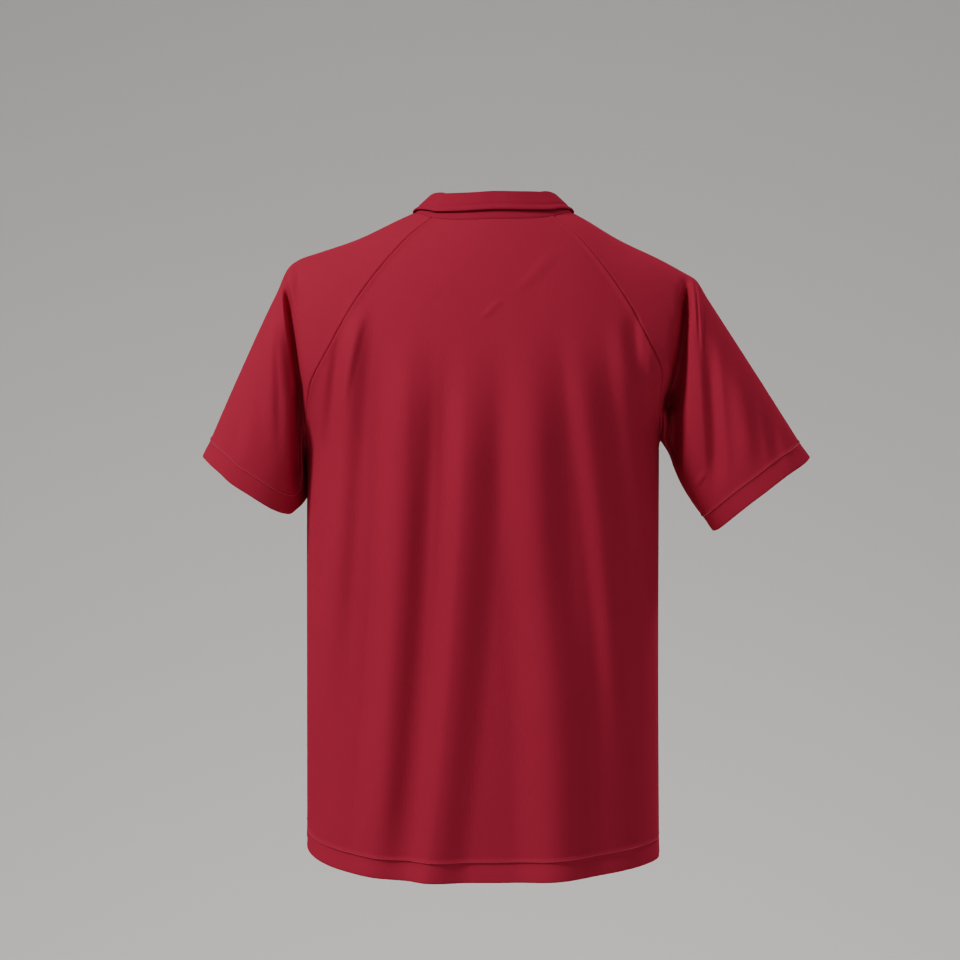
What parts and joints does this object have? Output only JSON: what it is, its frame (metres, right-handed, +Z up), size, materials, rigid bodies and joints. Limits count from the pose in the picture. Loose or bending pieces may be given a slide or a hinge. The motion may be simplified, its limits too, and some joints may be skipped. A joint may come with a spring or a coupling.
{
  "type": "football jersey",
  "caption": "Short-sleeved red football jersey with raglan sleeves and a polo collar over a V neck, hollow and posed as worn.",
  "frame": {"origin": "centre of the neck base, level with the highest points of the shoulders, where the wearer holds the garment up", "axes": "+Z up the body, -Y towards the wearer's front, +X towards the wearer's left"},
  "size_m": [0.6387, 0.2402, 0.7085],
  "materials": {
    "body_knit": "satin",
    "collar_knit": "matte"
  },
  "bodies": {
    "root": {"back": "body_knit", "front": "body_knit", "sleeve_left": "body_knit", "sleeve_right": "body_knit", "collar_stand": "collar_knit", "collar_leaf": "collar_knit"}
  },
  "joints": []
}
